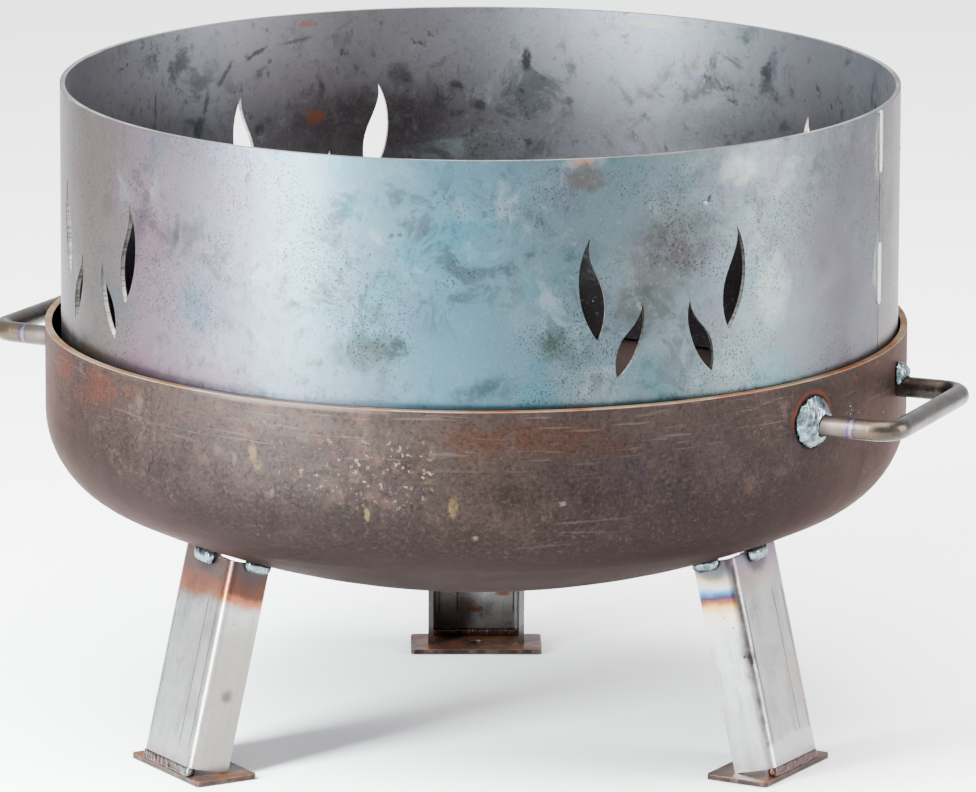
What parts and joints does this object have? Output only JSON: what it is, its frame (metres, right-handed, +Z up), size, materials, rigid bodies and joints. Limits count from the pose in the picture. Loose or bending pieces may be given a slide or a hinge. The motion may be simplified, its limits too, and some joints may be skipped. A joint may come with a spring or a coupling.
{
  "type": "three-legged fire bowl with lift-off wind ring",
  "caption": "Dished steel fire bowl on channel legs with foot plates and two welded bar handles, holding a loose rolled sheet wind ring with flame-shaped windows.",
  "frame": {"origin": "on the bowl's axis, on the floor under the foot plates", "axes": "+Z up along the bowl's axis; the two handles lie on +X and -X; +Y completes a right-handed frame, with one leg near +X and one each side at the back and the front"},
  "size_m": [0.5939, 0.5, 0.385],
  "materials": {
    "bowl_scale_steel": "hot-pressed steel plate with brown-violet mill scale and thin orange rust",
    "ring_blued_steel": "rolled mill-finish sheet steel, blue-grey with straw and lilac tints",
    "leg_steel": "bare galvanised-grey cold-formed channel, bright folds, heat tint near the welds",
    "plate_steel": "flat bar with a thin brown rust bloom and sheared grey edges",
    "bar_steel": "hot-rolled round bar, grey-brown",
    "weld_metal": "as-laid weld metal, silver-blue",
    "ground_weld": "weld ground nearly flush, bright"
  },
  "bodies": {
    "fire_bowl": {"bowl": "bowl_scale_steel", "foot_plate_back": "plate_steel", "foot_plate_front": "plate_steel", "foot_plate_right": "plate_steel", "foot_weld_back": "weld_metal", "foot_weld_front": "weld_metal", "foot_weld_right": "weld_metal", "handle_left": "bar_steel", "handle_right": "bar_steel", "handle_weld_left_back": "weld_metal", "handle_weld_left_front": "weld_metal", "handle_weld_right_back": "weld_metal", "handle_weld_right_front": "weld_metal", "leg_back": "leg_steel", "leg_front": "leg_steel", "leg_right": "leg_steel", "leg_weld_left_back": "weld_metal", "leg_weld_left_front": "weld_metal", "leg_weld_left_right": "weld_metal", "leg_weld_right_back": "weld_metal", "leg_weld_right_front": "weld_metal", "leg_weld_right_right": "weld_metal", "leg_weld_web_back": "weld_metal", "leg_weld_web_front": "weld_metal", "leg_weld_web_right": "weld_metal"},
    "ring": {"seam_weld_bottom": "ground_weld", "seam_weld_middle": "ground_weld", "seam_weld_top": "ground_weld", "wind_ring": "ring_blued_steel"}
  },
  "joints": [
    {"name": "ring_lift", "type": "slide", "parent": "fire_bowl", "child": "ring", "axis": [0, 0, 1], "range_m": [0, 0.25]}
  ]
}
